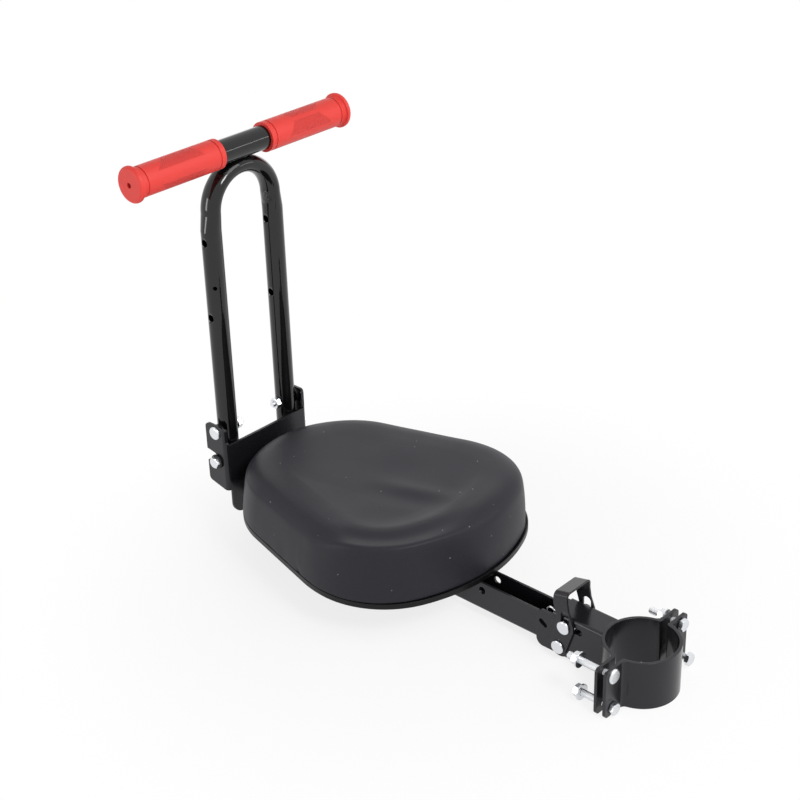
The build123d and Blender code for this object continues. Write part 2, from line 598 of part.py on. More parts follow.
def handle_loop():
    tube = loop_form(0, LEG_BOTTOM) - loop_form(TUBE_T, LEG_BOTTOM - 5)
    for z in (PIVOT_Z, LOCK_Z):
        tube -= rod_y(SHANK_R + FIT, -60, 60, LEG_X, z)
    dimple = Cone(SPARE_HOLE_D / 2, SPARE_DIMPLE_D / 2, SPARE_DIMPLE_DEPTH)
    for z in SPARE_HOLE_ZS:
        tube -= rod_y(SPARE_HOLE_D / 2, -60, 60, LEG_X, z)
        for y in (-LEG_Y - TUBE_R, TUBE_R - LEG_Y, LEG_Y - TUBE_R, LEG_Y + TUBE_R):
            out = 1 if abs(y) > LEG_Y else -1
            facing = out if y > 0 else -out
            tube -= facing_y(LEG_X, y - facing * SPARE_DIMPLE_DEPTH / 2, z, facing) * dimple
    drain = rod_x(DRAIN_HOLE_D / 2, 0, TUBE_D, 0, 0)
    tube -= Pos(LEG_X, LEG_Y, DRAIN_HOLE_Z) * Rot(0, 0, 135) * drain
    return tube - rod_y(BAR_R, -60, 60, BAR_X, BAR_Z)


save("handle_loop", handle_loop())

bar_half = GRIP_FACE_Y - GRIP_END_T
bar = rod_y(BAR_R, -bar_half, bar_half, BAR_X, BAR_Z)
save("crossbar", bar - rod_y(BAR_R - BAR_T, -bar_half - 5, bar_half + 5, BAR_X, BAR_Z))


# Grips: a sleeve with a grooved collar at each end and a rounded flange closed over the bar's end
def grip(sign):
    length = GRIP_FACE_Y - GRIP_INNER_Y
    neck = length - GRIP_FLANGE_T
    groove_r = GRIP_R - GRIP_GROOVE
    groove_end = GRIP_COLLAR_T + GRIP_GROOVE_W
    profile = Polyline(
        (BAR_R, 0), (GRIP_R, 0), (GRIP_R, GRIP_COLLAR_T), (groove_r, GRIP_COLLAR_T), (groove_r, groove_end),
        (GRIP_R, groove_end), (GRIP_R, neck - groove_end), (groove_r, neck - groove_end),
        (groove_r, neck - GRIP_COLLAR_T), (GRIP_R, neck - GRIP_COLLAR_T), (GRIP_R, neck),
        (GRIP_FLANGE_R, neck), (GRIP_FLANGE_R, length), (GRIP_END_HOLE_D / 2, length),
        (GRIP_END_HOLE_D / 2, length - GRIP_END_T), (BAR_R, length - GRIP_END_T), close=True,
    )
    face = make_face(profile)
    rim = [v for v in face.vertices() if v.X > GRIP_FLANGE_R - 0.01]
    face = fillet([v for v in rim if v.Y > length - 0.01], 0.62 * GRIP_FLANGE_T)
    step = [v for v in face.vertices() if v.X > GRIP_R - 0.01 and abs(v.Y - neck) < 0.01]
    face = fillet(step, 0.42 * GRIP_FLANGE_OUT)
    body = revolve(Plane.XZ * face, Axis.Z, 360)
    return facing_y(BAR_X, sign * GRIP_INNER_Y, BAR_Z, sign) * body


save("left_grip", grip(1))
save("right_grip", grip(-1))

# Pivot bolts hold the legs in the ears; lock bolts ride in the notches and clamp the handle upright
nut_face = LEG_Y - TUBE_R
pivot_bolts = []
pivot_nuts = []
spacers = []
lock_bolts = []
lock_washers = []
lock_nuts = []
for sign in (-1, 1):
    pivot_len = EAR_OUT - nut_face + NUT_H + 3.0
    pivot_bolts.append(facing_y(LEG_X, sign * EAR_OUT, PIVOT_Z, sign) * round_bolt(pivot_len))
    pivot_nuts.append(facing_y(LEG_X, sign * (nut_face - SIDE_GAP), PIVOT_Z, -sign) * hex_nut())
    ring = Pos(0, 0, SPACER_T / 2) * Cylinder(SPACER_D / 2, SPACER_T)
    ring -= Cylinder(SHANK_R + THREAD_FIT, 4 * SPACER_T)
    spacers.append(facing_y(LEG_X, sign * EAR_IN, PIVOT_Z, -sign) * ring)
    lock_seat = EAR_OUT + SIDE_GAP
    lock_washers.append(facing_y(LEG_X, sign * lock_seat, LOCK_Z, sign) * washer())
    lock_head = lock_seat + WASHER_T
    lock_len = lock_head - nut_face + NUT_H + 2.0
    lock_bolts.append(facing_y(LEG_X, sign * lock_head, LOCK_Z, sign) * hex_bolt(lock_len))
    lock_nuts.append(facing_y(LEG_X, sign * nut_face, LOCK_Z, -sign) * hex_nut())
group("pivot_bolts", pivot_bolts)
group("pivot_nuts", pivot_nuts)
group("pivot_spacers", spacers)
group("lock_bolts", lock_bolts)
group("lock_washers", lock_washers)
group("lock_nuts", lock_nuts)
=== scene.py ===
import json
import math

import bpy
from mathutils import Matrix, Vector, noise


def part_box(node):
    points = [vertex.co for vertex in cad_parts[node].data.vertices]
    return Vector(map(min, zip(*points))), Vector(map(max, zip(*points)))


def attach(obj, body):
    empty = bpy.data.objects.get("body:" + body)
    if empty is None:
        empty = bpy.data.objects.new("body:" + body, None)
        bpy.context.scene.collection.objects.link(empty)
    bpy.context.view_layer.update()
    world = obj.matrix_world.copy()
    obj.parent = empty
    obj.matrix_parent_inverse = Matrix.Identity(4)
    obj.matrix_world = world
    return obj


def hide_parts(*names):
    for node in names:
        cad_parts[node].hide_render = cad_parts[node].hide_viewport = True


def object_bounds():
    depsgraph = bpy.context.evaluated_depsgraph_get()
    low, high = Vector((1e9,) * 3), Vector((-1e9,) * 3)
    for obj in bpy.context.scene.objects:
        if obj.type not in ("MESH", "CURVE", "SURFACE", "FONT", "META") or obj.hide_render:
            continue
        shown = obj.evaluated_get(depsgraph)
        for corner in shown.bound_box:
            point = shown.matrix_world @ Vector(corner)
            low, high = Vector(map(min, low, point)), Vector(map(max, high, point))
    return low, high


# A child's bicycle seat with a folding handlebar: studio scene over the CAD frame, in metres.

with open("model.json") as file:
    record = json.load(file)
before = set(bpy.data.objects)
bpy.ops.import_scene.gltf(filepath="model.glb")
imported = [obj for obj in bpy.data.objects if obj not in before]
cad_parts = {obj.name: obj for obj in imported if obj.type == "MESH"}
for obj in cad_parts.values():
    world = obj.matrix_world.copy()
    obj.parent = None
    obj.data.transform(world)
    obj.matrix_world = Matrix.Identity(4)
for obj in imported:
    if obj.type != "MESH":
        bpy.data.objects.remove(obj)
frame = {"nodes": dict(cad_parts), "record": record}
cad_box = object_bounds()
nodes = frame["nodes"]
scene = bpy.context.scene
MM = 0.001
WHITE = (1.0, 1.0, 1.0, 1.0)


def link(obj):
    """Puts a new object in the scene."""
    scene.collection.objects.link(obj)
    return obj


def mesh_piece(name, points, faces, smooth=True):
    """A mesh object from points in metres."""
    mesh = bpy.data.meshes.new(name)
    mesh.from_pydata([tuple(p) for p in points], [], faces)
    mesh.update()
    if smooth:
        mesh.polygons.foreach_set("use_smooth", [True] * len(mesh.polygons))
    return link(bpy.data.objects.new(name, mesh))


def ease(value, low, high):
    """A smooth step from 0 at low to 1 at high."""
    t = min(max((value - low) / (high - low), 0.0), 1.0)
    return t * t * (3 - 2 * t)


def lerp(a, b, t):
    """A value part of the way from a to b."""
    return a + (b - a) * t


def bell(value, width):
    """1 at 0, dying away on both sides over a width."""
    return math.exp(-(value / width) ** 2)


def srgb(red, green, blue):
    """A colour from 0 to 255 as linear RGBA."""
    def channel(value):
        v = value / 255
        return v / 12.92 if v <= 0.04045 else ((v + 0.055) / 1.055) ** 2.4

    return (channel(red), channel(green), channel(blue), 1.0)


# Shader helpers
def shader(tree, kind, sockets=None, **settings):
    """A shader node whose sockets take values or other nodes' outputs."""
    made = tree.nodes.new("ShaderNode" + kind)
    for key, value in settings.items():
        setattr(made, key, value)
    for key, value in (sockets or {}).items():
        if isinstance(value, bpy.types.NodeSocket):
            tree.links.new(value, made.inputs[key])
        else:
            made.inputs[key].default_value = value
    return made


def calc(tree, operation, a, b=0.0, c=0.0):
    """The output of one arithmetic step."""
    return shader(tree, "Math", {0: a, 1: b, 2: c}, operation=operation).outputs[0]


def vector_calc(tree, operation, a, b):
    """The number that comes from two vectors."""
    return shader(tree, "VectorMath", {0: a, 1: b}, operation=operation).outputs["Value"]


def ramp(tree, value, low, high):
    """A smooth step from 0 at low to 1 at high."""
    sockets = {"Value": value, "From Min": low, "From Max": high}
    return shader(tree, "MapRange", sockets, interpolation_type="SMOOTHSTEP").outputs["Result"]


def blend(tree, share, first, second):
    """One colour running into another."""
    return shader(tree, "Mix", {0: share, 6: first, 7: second}, data_type="RGBA").outputs[2]


def cloud(tree, place, size_mm, detail=2.0):
    """Noise from 0 to 1 with lumps of a size."""
    sockets = {"Vector": place, "Scale": 1 / (size_mm * MM), "Detail": detail}
    return shader(tree, "TexNoise", sockets).outputs["Fac"]


def near(tree, place, point_mm, radius_mm, core=0.4):
    """1 in the core of a spot, falling to 0 at its radius."""
    away = vector_calc(tree, "DISTANCE", place, tuple(c * MM for c in point_mm))
    return ramp(tree, away, radius_mm * MM, core * radius_mm * MM)


def blank(name):
    """A new node material with its tree, its surface shader and the place on the object."""
    material = bpy.data.materials.new(name)
    material.use_nodes = True
    tree = material.node_tree
    surface = tree.nodes["Principled BSDF"]
    place = shader(tree, "TexCoord").outputs["Object"]
    return material, tree, surface, place


def set_specular(surface, level, tint):
    """How strongly a surface reflects, and the tint of what it reflects."""
    surface.inputs["Specular IOR Level"].default_value = level
    surface.inputs["Specular Tint"].default_value = tint


def bumped(tree, surface, height, depth_mm, under=None):
    """Puts a bump on the surface, from a height of 0 to 1, over another normal."""
    sockets = {"Height": height, "Distance": depth_mm * MM, "Strength": 1.0}
    if under is not None:
        sockets["Normal"] = under
    normal = shader(tree, "Bump", sockets).outputs["Normal"]
    tree.links.new(normal, surface.inputs["Normal"])
    return normal


# Every coat: size of the patches that drift in millimetres, and how far their roughness goes from the mean
DRIFT_MM = 35.0
ROUGHNESS_SPREAD = 0.12


def coat(tree, surface, place, colour, roughness, grain_mm, grain_depth, drift=0.15, edge_mm=0.0):
    """Colour and roughness that drift a little, a fine grain, and edges that are rounded to the light."""
    patches = cloud(tree, place, DRIFT_MM, 3.0)
    dark, light = (tuple(c * share for c in colour[:3]) + (1.0,) for share in (1 - drift, 1 + drift))
    tint = blend(tree, patches, dark, light)
    tree.links.new(tint, surface.inputs["Base Color"])
    smoothest, roughest = roughness * (1 - ROUGHNESS_SPREAD), roughness * (1 + ROUGHNESS_SPREAD)
    rough = shader(tree, "MapRange", {"Value": patches, "To Min": smoothest, "To Max": roughest})
    tree.links.new(rough.outputs["Result"], surface.inputs["Roughness"])
    rounded = None
    if edge_mm:
        rounded = shader(tree, "Bevel", {"Radius": edge_mm * MM}, samples=4).outputs["Normal"]
    return tint, bumped(tree, surface, cloud(tree, place, grain_mm), grain_depth, rounded)


# Black paint
PAINT_SPECULAR_TINT = (0.96, 0.95, 1.0, 1.0)
GLOSS_BLACK = srgb(9, 9, 10)
# Rough spots in the gloss, point and radius in millimetres: two of weld spatter and one bending mark
PAINT_SPOTS = (((441, 14, 332.5), 4.5), ((441, 0, 332.5), 4.0), ((449, -28.5, 285), 8.0))
SPATTER_MM, SPATTER_DEPTH = 1.6, 1.2


def satin_paint(name, colour, roughness, shine):
    """Satin powder coat on bent sheet steel."""
    material, tree, surface, place = blank(name)
    set_specular(surface, shine, PAINT_SPECULAR_TINT)
    coat(tree, surface, place, colour, roughness, grain_mm=1.4, grain_depth=0.012, edge_mm=0.7)
    return material


def gloss_paint(name):
    """Gloss black paint on the tubes, with weld spatter under the crossbar and a bending mark."""
    material, tree, surface, place = blank(name)
    _, smooth = coat(tree, surface, place, GLOSS_BLACK, 0.07, grain_mm=9.0, grain_depth=0.05, edge_mm=0.4)
    spots = 0.0
    for point, radius in PAINT_SPOTS:
        spots = calc(tree, "ADD", spots, near(tree, place, point, radius))
    rough = calc(tree, "MULTIPLY", spots, cloud(tree, place, SPATTER_MM))
    bumped(tree, surface, rough, SPATTER_DEPTH, smooth)
    return material


# Clamp bolts in millimetres: their axes' distances from the middle, their shanks and their thread
BOLT_OFF_Y, BOLT_OFF_Z = 46.5, 15.5
SHANK_RADIUS, SHANK_EDGE = 3.05, 0.15
THREAD_PITCH, THREAD_DEPTH = 1.1, 0.16


def plated(name, colour, roughness):
    """Bright zinc plate, with the thread of the clamp's bolts."""
    material, tree, surface, place = blank(name)
    fine = {"grain_mm": 0.8, "grain_depth": 0.01, "drift": 0.06, "edge_mm": 0.45}
    _, smooth = coat(tree, surface, place, colour, roughness, **fine)
    surface.inputs["Metallic"].default_value = 1.0
    part = shader(tree, "SeparateXYZ", {"Vector": place}).outputs
    off_y = calc(tree, "SUBTRACT", calc(tree, "ABSOLUTE", part["Y"]), BOLT_OFF_Y * MM)
    off_z = calc(tree, "SUBTRACT", calc(tree, "ABSOLUTE", part["Z"]), BOLT_OFF_Z * MM)
    square = calc(tree, "MULTIPLY_ADD", off_y, off_y, calc(tree, "MULTIPLY", off_z, off_z))
    shank = ramp(tree, calc(tree, "SQRT", square), (SHANK_RADIUS + SHANK_EDGE) * MM, SHANK_RADIUS * MM)
    half_turn = THREAD_PITCH / 2 * MM
    thread = calc(tree, "DIVIDE", calc(tree, "PINGPONG", part["X"], half_turn), half_turn)
    bumped(tree, surface, calc(tree, "MULTIPLY", shank, thread), THREAD_DEPTH, smooth)
    return material


# Grips in millimetres and radians, the far one turned: round each, two pairs of panels parted by a rib
GRIP_RED, GRIP_CUT_SHADE_RED = srgb(225, 57, 49), srgb(196, 30, 26)
# The second, darker red is painted shade, laid in the hatching's cuts
GRIP_RADIUS = 13.75
GRIP_FAR_TURN = math.radians(-50)
PAIR_START, PAIR_HALF = math.radians(15), math.radians(63)
RIB_HALF, TURN_EDGE = 0.14, 0.03
# A panel's two ends: distance along the bar at the pair's border, and slant for each radian off it
PANEL_INNER, PANEL_INNER_SLANT = 49.0, 8.5
PANEL_OUTER, PANEL_OUTER_SLANT = 101.0, -13.5
PANEL_EDGE = 0.5
# Cross-hatching: pitch, half width and depth of the cuts, and how much painted shade, a darker red, is laid
# in them
HATCH_PITCH, HATCH_CUT, HATCH_DEPTH = 2.2, 0.5, 0.3
HATCH_SHADE = 0.5
# How far the diamonds lie below the smooth bands, as a share of the cuts' depth
DIAMOND_SINK = 0.2


def grip_panels(tree, along, turn, far):
    """1 on the grips' panels and 0 on the smooth bands, ribs and ends."""
    turned = calc(tree, "MULTIPLY_ADD", far, GRIP_FAR_TURN, turn)
    folded = calc(tree, "FLOORED_MODULO", calc(tree, "SUBTRACT", turned, PAIR_START), math.pi)
    from_rib = calc(tree, "ABSOLUTE", calc(tree, "SUBTRACT", folded, PAIR_HALF))
    from_border = calc(tree, "SUBTRACT", PAIR_HALF, from_rib)
    start = calc(tree, "MULTIPLY_ADD", from_border, PANEL_INNER_SLANT * MM, PANEL_INNER * MM)
    stop = calc(tree, "MULTIPLY_ADD", from_border, PANEL_OUTER_SLANT * MM, PANEL_OUTER * MM)
    panel = ramp(tree, calc(tree, "SUBTRACT", along, start), 0.0, PANEL_EDGE * MM)
    for edge in (
        ramp(tree, calc(tree, "SUBTRACT", stop, along), 0.0, PANEL_EDGE * MM),
        ramp(tree, from_rib, RIB_HALF, RIB_HALF + TURN_EDGE),
        ramp(tree, from_border, 0.0, TURN_EDGE),
    ):
        panel = calc(tree, "MULTIPLY", panel, edge)
    return panel


def grip_diamonds(tree, along, turn):
    """1 on the diamonds of the cross-hatching and 0 in the cuts between them."""
    cuts = []
    for slant in (GRIP_RADIUS * MM, -GRIP_RADIUS * MM):
        lead = calc(tree, "MULTIPLY_ADD", turn, slant, along)
        cuts.append(calc(tree, "PINGPONG", lead, HATCH_PITCH / 2 * MM))
    return ramp(tree, calc(tree, "MINIMUM", *cuts), 0.0, HATCH_CUT * MM)


def rubber(name):
    """Moulded red rubber: pairs of cross-hatched panels with slanted ends, smooth bands between them, and
    painted shade darkening the cuts.
    """
    material, tree, surface, place = blank(name)
    fine = {"grain_mm": 0.7, "grain_depth": 0.015, "drift": 0.04, "edge_mm": 0.4}
    tint, smooth = coat(tree, surface, place, GRIP_RED, 0.5, **fine)
    low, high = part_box("left_grip")
    part = shader(tree, "SeparateXYZ", {"Vector": place}).outputs
    off_x = calc(tree, "SUBTRACT", part["X"], (low[0] + high[0]) / 2)
    off_z = calc(tree, "SUBTRACT", part["Z"], (low[2] + high[2]) / 2)
    along = calc(tree, "ABSOLUTE", part["Y"])
    turn = calc(tree, "ARCTAN2", off_z, off_x)
    panel = grip_panels(tree, along, turn, calc(tree, "LESS_THAN", part["Y"], 0.0))
    diamonds = grip_diamonds(tree, along, turn)
    sunk = calc(tree, "MULTIPLY", panel, calc(tree, "SUBTRACT", 1 + DIAMOND_SINK, diamonds))
    bumped(tree, surface, calc(tree, "SUBTRACT", 1.0, sunk), HATCH_DEPTH, smooth)
    # Painted shade: the cuts between the diamonds are darkened toward the darker red
    cuts = calc(tree, "MULTIPLY", panel, calc(tree, "SUBTRACT", 1.0, diamonds))
    cut_shaded = blend(tree, calc(tree, "MULTIPLY", cuts, HATCH_SHADE), tint, GRIP_CUT_SHADE_RED)
    tree.links.new(cut_shaded, surface.inputs["Base Color"])
    return material


# Vinyl: pebbles and dust to a metre, depth in millimetres, share of cells with a speck, its size in a cell
VINYL_BLACK, DUST = srgb(38, 38, 43), srgb(165, 165, 170)
VINYL_SHINE, VINYL_SPECULAR_TINT = 0.22, (0.93, 0.91, 1.0, 1.0)
PEBBLES, PEBBLE_DEPTH = 700.0, 0.04
SPECKS, SPECK_SHARE, SPECK_OUTER, SPECK_INNER = 170.0, 0.14, 0.1, 0.05


def vinyl(name):
    """Matte upholstery vinyl with a fine pebbled grain and a few pale specks of dust."""
    material, tree, surface, place = blank(name)
    set_specular(surface, VINYL_SHINE, VINYL_SPECULAR_TINT)
    tint, smooth = coat(tree, surface, place, VINYL_BLACK, 0.46, grain_mm=0.9, grain_depth=0.02, drift=0.05)
    pebbles = shader(tree, "TexVoronoi", {"Vector": place, "Scale": PEBBLES}).outputs["Distance"]
    bumped(tree, surface, pebbles, PEBBLE_DEPTH, smooth)
    specks = shader(tree, "TexVoronoi", {"Vector": place, "Scale": SPECKS}).outputs
    draw = shader(tree, "SeparateColor", {0: specks["Color"]}).outputs[0]
    chosen = calc(tree, "GREATER_THAN", draw, 1 - SPECK_SHARE)
    dust = calc(tree, "MULTIPLY", chosen, ramp(tree, specks["Distance"], SPECK_OUTER, SPECK_INNER))
    tree.links.new(blend(tree, dust, tint, DUST), surface.inputs["Base Color"])
    return material


FINISH = {
    "satin_black_steel": satin_paint("satin_black_steel", srgb(26, 26, 29), roughness=0.2, shine=0.42),
    "gloss_black_steel": gloss_paint("gloss_black_steel"),
    "zinc_steel": plated("zinc_steel", srgb(226, 228, 231), roughness=0.26),
    "red_rubber": rubber("red_rubber"),
    "pad_vinyl": vinyl("pad_vinyl"),
    "black_plastic": satin_paint("black_plastic", srgb(14, 14, 15), roughness=0.4, shine=0.3),
}
# The pan's black is darkened further as painted shade for the gap between its lip and the pad's hem
PAN_SHADED_FINISH = satin_paint("pan_shaded_black", srgb(11, 11, 12), roughness=0.35, shine=0.25)


def paint_nodes():
    """Gives each CAD node the finish of its slot, and the pan under the pad a darker black, partly painted
    shade for the gap under the pad's hem.
    """
    for entry in frame["record"]["subparts"]:
        finish = PAN_SHADED_FINISH if entry["node"] == "seat_pan" else FINISH[entry["material_slot"]]
        for slot in nodes[entry["node"]].material_slots:
            slot.material = finish


paint_nodes()

# Seat pan under the pad, in millimetres: its outline is a run of tangent arcs
PAN_FRONT_X, PAN_HALF_W, PAN_LIP = (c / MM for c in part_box("seat_pan")[1])
PAN_REAR_X, PAN_WIDE_X = 161.0, 250.0
PAN_REAR_R, PAN_FRONT_R = 160.0, 93.0

# Seat pad in millimetres: underside, and height of the rolled rim, which falls toward the front
PAD_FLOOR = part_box("seat_pad")[0][2] / MM
RIM_HEIGHT, RIM_FALL = 69.5, 0.0384
# Directions toward the camera, where the rim has a groove, and to its left, where the pad covers the lip
TO_CAMERA = Vector((-0.68, 0.73))
TO_LEFT = Vector((0.69, 0.72))
# Cosines from those directions at which the groove and the cover begin and are full
GROOVE_FROM, GROOVE_FULL = 0.62, 0.93
COVER_FROM, COVER_FULL = -0.8, 0.6
# Up the side: distance in from the pan's edge, and share of the rim's height
PAD_SIDE = ((1.8, 0.12), (2.3, 0.3), (3.4, 0.53), (5.0, 0.75))
# Over the rim: distance in, and fall below the rim's height, plain and with the groove
PAD_RIM = (
    (6.8, 8.5, 3.6), (8.6, 6.2, 2.2), (11.0, 4.2, 1.85), (14.0, 2.5, 2.05), (18.0, 1.1, 2.3),
    (21.5, 0.45, 2.3), (25.0, 0.1, 1.9), (29.0, 0.0, 1.1), (33.0, 0.0, 0.4),
)
# Round the dish's lip: distance in, and fall for each unit of the dish's slope there
DISH_LIP_IN, DISH_LIP_FALL = 43.0, 5.0
PAD_DISH_EDGE = ((38.0, 1.25), (DISH_LIP_IN, DISH_LIP_FALL), (48.0, 9.8))
# The dish's lowest spot and its depth
DISH_LOW = Vector((226.0, 26.0))
DISH_DEPTH = 3.0
# The crease across the dish: its course, shares of it between which it shows, its ridge and its hollow
CREASE = tuple(Vector(p) for p in ((318, 14), (292, 9), (261, 4), (233, -4), (208, -10), (189, -15)))
CREASE_START, CREASE_PEAK, CREASE_END = 0.1, 0.5, 0.95
RIDGE_HEIGHT, RIDGE_WIDTH = 1.1, 10.0
HOLLOW_DEPTH, HOLLOW_WIDTH, HOLLOW_OFF = 0.8, 13.0, 17.0
# The side's foot: how far in it stands where the lip shows, where the pad covers it, and in PAD_SIDE
FOOT_OPEN, FOOT_COVERED, FOOT_DRAWN = 2.5, 0.2, 1.6
# The hem: its height over the lip, and the height of its roll, on which the side stands
HEM_OVER_LIP, HEM_ROLL = 0.45, 0.9
# Puckers in the hem: their places and width, and how far they lift the hem and draw the side in
PUCKERS = tuple(Vector(p) for p in ((287, 109), (239, 111), (220, 105), (201, 93), (176, 60)))
PUCKER_WIDTH, PUCKER_LIFT, PUCKER_IN = 2.8, 0.8, 0.9
# Unevenness: size and waves to a millimetre, and the heights from which the top has it
FOOT_WAVES, SIDE_WAVES, TOP_WAVES = (0.3, 0.06), (1.2, 0.03), (0.4, 0.022)
TOP_FROM, TOP_FULL = 55.0, 62.0
# The mesh: points round the outline, rings in the dish, and steps between two points of a column
OUTLINE_POINTS, DISH_RINGS, COLUMN_STEPS = 480, 40, 4


def pan_outline(count):
    """Points and outward normals spaced evenly round the pan's edge, from the front end."""
    rear_mid = PAN_REAR_X + PAN_REAR_R
    front_mid = PAN_FRONT_X - PAN_FRONT_R
    back = rear_mid - PAN_WIDE_X
    corner_r = (PAN_REAR_R ** 2 - back ** 2 - PAN_HALF_W ** 2) / (2 * (PAN_REAR_R - PAN_HALF_W))
    corner_y = PAN_HALF_W - corner_r
    corner_turn = math.atan2(corner_y, back)
    lean = math.asin((PAN_HALF_W - PAN_FRONT_R) / (front_mid - PAN_WIDE_X))
    side = math.pi / 2 - lean
    flank = (front_mid - PAN_WIDE_X) * math.cos(lean)
    arcs = (
        (front_mid, 0.0, PAN_FRONT_R, 0.0, side),
        (PAN_WIDE_X, 0.0, PAN_HALF_W, side, math.pi / 2),
        (PAN_WIDE_X, corner_y, corner_r, math.pi / 2, math.pi - corner_turn),
        (rear_mid, 0.0, PAN_REAR_R, math.pi - corner_turn, math.pi),
    )
    lengths = [radius * (end - start) for _, _, radius, start, end in arcs]
    lengths.insert(1, flank)
    half = sum(lengths)
    outline = []
    for k in range(count):
        reach = 2 * half * k / count
        sign = 1 if reach <= half else -1
        reach = min(reach, 2 * half - reach)
        row = 0
        while row < len(arcs) and reach > lengths[row]:
            reach -= lengths[row]
            row += 1
        if row == 1:
            turn = side
            x = front_mid + PAN_FRONT_R * math.cos(side) - reach * math.sin(side)
            y = PAN_FRONT_R * math.sin(side) + reach * math.cos(side)
        else:
            mid_x, mid_y, radius, start, _ = arcs[row - (row > 1)]
            turn = start + reach / radius
            x = mid_x + radius * math.cos(turn)
            y = mid_y + radius * math.sin(turn)
        outline.append((Vector((x, sign * y)), Vector((math.cos(turn), sign * math.sin(turn)))))
    return outline


def smooth_run(stops, steps):
    """Catmull-Rom points through the stops, steps to each gap."""
    ends = [stops[0]] + list(stops) + [stops[-1]]
    run = []
    for k in range(len(stops) - 1):
        a, b, c, d = (Vector(p) for p in ends[k:k + 4])
        for s in range(steps):
            t = s / steps
            square = (2 * a - 5 * b + 4 * c - d) * t * t
            cube = (3 * b - a - 3 * c + d) * t ** 3
            run.append(0.5 * (2 * b + (c - a) * t + square + cube))
    run.append(Vector(stops[-1]))
    return run


def pad_rim(x):
    """Height of the rolled rim, falling to the front."""
    return RIM_HEIGHT - RIM_FALL * (x - PAN_WIDE_X)


def unevenness(spot, waves, height=0.0):
    """Smooth noise over the pad, of a size and with so many waves to a millimetre."""
    size, waves_per_mm = waves
    return size * noise.noise(Vector((spot.x, spot.y, height)) * waves_per_mm)


def crease(spot):
    """Height of the crease: a soft ridge, with a hollow on its near side, strongest halfway along."""
    best = None
    for k in range(len(CREASE) - 1):
        run = CREASE[k + 1] - CREASE[k]
        t = min(max((spot - CREASE[k]).dot(run) / run.length_squared, 0.0), 1.0)
        away = spot - CREASE[k] - run * t
        if best is None or away.length < best[0].length:
            best = (away, (k + t) / (len(CREASE) - 1))
    away, share = best
    side = -away.length if away.dot(TO_CAMERA) > 0 else away.length
    fade = ease(share, CREASE_START, CREASE_PEAK) * (1 - ease(share, CREASE_PEAK, CREASE_END))
    ridge = RIDGE_HEIGHT * bell(side, RIDGE_WIDTH)
    hollow = HOLLOW_DEPTH * bell(side + HOLLOW_OFF, HOLLOW_WIDTH)
    return fade * (ridge - hollow)


def pad_hem(edge, out):
    """Points from the pad's underside out to its hem, just over the pan's lip, and the foot of its side."""
    cover = ease(out.dot(TO_LEFT), COVER_FROM, COVER_FULL)
    pucker = max(bell((edge - p).length, PUCKER_WIDTH) for p in PUCKERS) * cover
    foot = lerp(FOOT_OPEN, FOOT_COVERED, cover) + unevenness(edge, FOOT_WAVES)
    hem = PAN_LIP + HEM_OVER_LIP + PUCKER_LIFT * pucker
    points = [
        (5.4, PAD_FLOOR), (4.4, PAD_FLOOR + 0.2), (4.2, PAD_FLOOR + 1.0),
        (4.2, PAN_LIP - 0.3), (4.0, PAN_LIP + 0.1),
        (foot + 1.0, hem - 0.25), (foot + 0.5, hem - 0.15),
        (foot + 0.2, hem + 0.05), (foot + 0.05, hem + 0.4),
    ]
    return points, foot, hem + HEM_ROLL, pucker


def dish_wall(start):
    """Depth of the dish below its lip, and its slope there, on the way in from a point of the lip."""
    reach = (start - DISH_LOW).length
    depth = DISH_DEPTH / (1 + 2 * DISH_LIP_FALL / reach)
    return depth, 2 * depth / reach


def pad_column(edge, out):
    """Points from the pad's underside up its side, over its rim and in to the dish's lip."""
    points, foot, base, pucker = pad_hem(edge, out)
    rim = pad_rim(edge.x)
    groove = ease(out.dot(TO_CAMERA), GROOVE_FROM, GROOVE_FULL)
    stops = [(foot + PUCKER_IN * pucker, base)]
    for inset, share in PAD_SIDE:
        swell = (foot - FOOT_DRAWN) * (1 - min(share / 0.7, 1.0)) ** 1.5
        ripple = unevenness(edge, SIDE_WAVES, 30 * share) * share * (1 - share)
        fuller = 0.12 * groove * share ** 3
        stops.append((inset + swell + ripple, lerp(base, rim, share + fuller)))
    falls = [(inset, lerp(plain, cut, groove)) for inset, plain, cut in PAD_RIM]
    _, slope = dish_wall(edge - out * DISH_LIP_IN)
    falls += [(inset, fall * slope) for inset, fall in PAD_DISH_EDGE]
    stops += [(inset, pad_rim((edge - out * inset).x) - fall) for inset, fall in falls]
    # The last stop lies past the lip and only guides the curve
    run = smooth_run(stops, COLUMN_STEPS)[:-COLUMN_STEPS]
    return points + [tuple(p) for p in run]


def pad_point(spot, height):
    """A point of the pad in metres, with the crease and a little unevenness on its top."""
    lift = ease(height, TOP_FROM, TOP_FULL) * (crease(spot) + unevenness(spot, TOP_WAVES))
    return (spot.x * MM, spot.y * MM, (height + lift) * MM)


def pad_points(outline):
    """The pad's points column by column, then the dish's lowest spot and the middle of the underside."""
    points = []
    for edge, out in outline:
        points += [pad_point(edge - out * inset, height) for inset, height in pad_column(edge, out)]
        start = edge - out * DISH_LIP_IN
        depth, slope = dish_wall(start)
        for k in range(1, DISH_RINGS):
            t = 1 - k / DISH_RINGS
            spot = DISH_LOW.lerp(start, t)
            points.append(pad_point(spot, pad_rim(spot.x) - DISH_LIP_FALL * slope - depth * (1 - t * t)))
    points.append(pad_point(DISH_LOW, pad_rim(DISH_LOW.x) - DISH_DEPTH))
    points.append((DISH_LOW.x * MM, DISH_LOW.y * MM, PAD_FLOOR * MM))
    return points


def pad_faces(columns, rows):
    """Faces between neighbouring columns, closed by fans in the dish and on the underside."""
    dish, underside = columns * rows, columns * rows + 1
    faces = []
    for k in range(columns):
        a, b = k * rows, (k + 1) % columns * rows
        for r in range(rows - 1):
            faces.append((a + r, b + r, b + r + 1, a + r + 1))
        faces.append((a + rows - 1, b + rows - 1, dish))
        faces.append((b, a, underside))
    return faces


